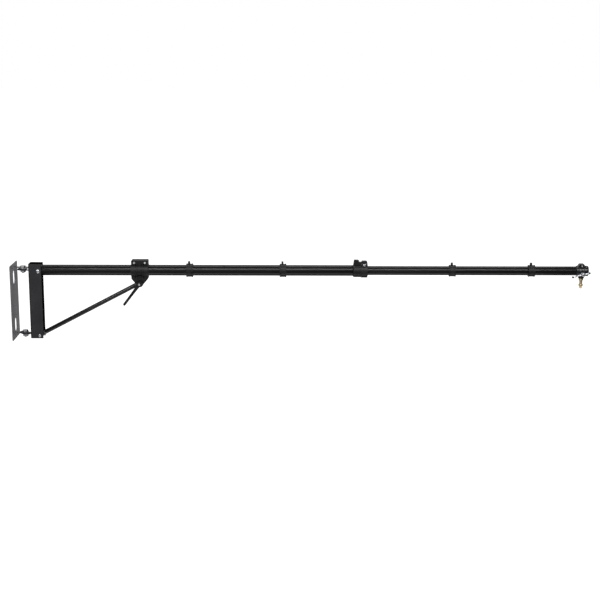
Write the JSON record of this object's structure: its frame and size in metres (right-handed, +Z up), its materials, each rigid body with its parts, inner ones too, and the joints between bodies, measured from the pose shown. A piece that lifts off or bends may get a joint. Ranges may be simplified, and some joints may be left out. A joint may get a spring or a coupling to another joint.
{
  "type": "wall-mounted telescopic boom arm",
  "caption": "Telescopic boom arm on a swivelling wall bracket, braced by a diagonal strut to a sliding clamp, with a spigot for a lamp or microphone at its end.",
  "frame": {"origin": "centre of the wall plate's back face, the face that lies against the wall", "axes": "+X away from the wall along the level boom, +Z up, -Y towards the side with the bolt heads and the ratchet lever"},
  "size_m": [2.0374, 0.12, 0.284],
  "materials": {
    "plate_coat": "grey powder coat on steel sheet",
    "post_coat": "black powder coat on folded steel",
    "black_tube": "satin black anodised tube",
    "cast_black": "black coated die casting",
    "moulded_black": "moulded glass-filled nylon",
    "nylon": "plain moulded nylon",
    "zinc_plate": "bright zinc plate on steel",
    "spigot_brass": "turned brass"
  },
  "bodies": {
    "wall_bracket": {"wall_plate": "plate_coat", "upper_swivel_bolt": "zinc_plate", "upper_swivel_nut": "zinc_plate", "upper_thrust_washer": "nylon", "lower_swivel_bolt": "zinc_plate", "lower_swivel_nut": "zinc_plate", "lower_thrust_washer": "nylon"},
    "post": {"post_channel": "post_coat", "boom_pivot_bolt": "zinc_plate", "boom_pivot_nut": "zinc_plate", "strut_pivot_bolt": "zinc_plate", "strut_pivot_nut": "zinc_plate", "strut_spacer_front": "nylon", "strut_spacer_rear": "nylon"},
    "boom": {"outer_tube": "black_tube", "butt_plug": "nylon", "boom_spacer_front": "nylon", "boom_spacer_rear": "nylon", "lock_collar": "moulded_black", "lock_pin": "zinc_plate", "lock_bolt": "zinc_plate", "lock_nut": "zinc_plate", "sliding_bush": "nylon"},
    "lock_lever": {"lock_lever": "moulded_black"},
    "clip_1": {"cable_clip_1": "moulded_black"},
    "clip_2": {"cable_clip_2": "moulded_black"},
    "clamp": {"clamp_front_shell": "moulded_black", "clamp_rear_shell": "moulded_black", "clamp_liner": "nylon", "clamp_screw_left": "zinc_plate", "clamp_screw_right": "zinc_plate", "clamp_nut_left": "zinc_plate", "clamp_nut_right": "zinc_plate", "clamp_bolt": "zinc_plate", "clamp_washer": "zinc_plate"},
    "ratchet_lever": {"ratchet_lever": "cast_black", "lever_screw": "zinc_plate"},
    "strut": {"strut_tube": "black_tube", "strut_upper_end": "zinc_plate", "strut_lower_end": "zinc_plate"},
    "inner_glide": {"inner_glide": "nylon"},
    "inner_tube": {"inner_tube": "black_tube", "head_casting": "cast_black", "head_screw": "zinc_plate"},
    "clip_3": {"cable_clip_3": "moulded_black"},
    "clip_4": {"cable_clip_4": "moulded_black"},
    "locking_screw": {"locking_screw": "zinc_plate"},
    "tommy_bar": {"tommy_bar": "zinc_plate", "tommy_cap_left": "nylon", "tommy_cap_right": "nylon"},
    "spigot": {"spigot": "spigot_brass"}
  },
  "joints": [
    {"name": "post_swivel", "type": "hinge", "parent": "wall_bracket", "child": "post", "pos_m": [0.036, 0, 0], "axis": [0, 0, 1], "range_deg": [-85, 85]},
    {"name": "boom_tilt", "type": "hinge", "parent": "post", "child": "boom", "pos_m": [0.092, 0, 0.1115], "axis": [0, -1, 0], "range_deg": [-15, 20]},
    {"name": "clamp_slide", "type": "slide", "parent": "boom", "child": "clamp", "axis": [1, 0, 0], "range_m": [-0.0792, 0.0594]},
    {"name": "strut_swing", "type": "hinge", "parent": "clamp", "child": "strut", "pos_m": [0.45, 0, 0.0665], "axis": [0, -1, 0], "range_deg": [-0.57, 0.43]},
    {"name": "ratchet_lever_turn", "type": "hinge", "parent": "clamp", "child": "ratchet_lever", "pos_m": [0.45, -0.03, 0.0665], "axis": [0, 1, 0], "range_deg": [-60, 60]},
    {"name": "lock_lever_flip", "type": "hinge", "parent": "boom", "child": "lock_lever", "pos_m": [1.243, -0.0195, 0.1345], "axis": [-1, 0, 0], "range_deg": [0, 110]},
    {"name": "clip_1_slide", "type": "slide", "parent": "boom", "child": "clip_1", "axis": [1, 0, 0], "range_m": [-0.03, 0.25]},
    {"name": "clip_2_slide", "type": "slide", "parent": "boom", "child": "clip_2", "axis": [1, 0, 0], "range_m": [-0.03, 0.22]},
    {"name": "telescope", "type": "slide", "parent": "boom", "child": "inner_glide", "axis": [1, 0, 0], "range_m": [-0.66, 0.05]},
    {"name": "inner_tube_turn", "type": "hinge", "parent": "inner_glide", "child": "inner_tube", "pos_m": [1.116, 0, 0.1115], "axis": [1, 0, 0], "range_deg": [-180, 180]},
    {"name": "clip_3_slide", "type": "slide", "parent": "inner_tube", "child": "clip_3", "axis": [1, 0, 0], "range_m": [-0.0291, 0.3829]},
    {"name": "clip_4_slide", "type": "slide", "parent": "inner_tube", "child": "clip_4", "axis": [1, 0, 0], "range_m": [-0.0104, 0.1366]},
    {"name": "locking_screw_turn", "type": "hinge", "parent": "inner_tube", "child": "locking_screw", "pos_m": [2.012, -0.03, 0.1055], "axis": [0, 1, 0], "continuous": true},
    {"name": "tommy_bar_slide", "type": "slide", "parent": "locking_screw", "child": "tommy_bar", "axis": [0.9703, 0, 0.2419], "range_m": [-0.013, 0.028]},
    {"name": "spigot_pull", "type": "slide", "parent": "inner_tube", "child": "spigot", "axis": [0, 0, -1], "range_m": [0, 0.045]}
  ],
  "couplings": [
    {"joint": "clamp_slide", "follows": "boom_tilt", "m_per_rad": -0.2265},
    {"joint": "strut_swing", "follows": "boom_tilt", "ratio": -0.028},
    {"joint": "clip_3_slide", "follows": "telescope", "ratio": -0.58},
    {"joint": "clip_4_slide", "follows": "telescope", "ratio": -0.2068}
  ]
}
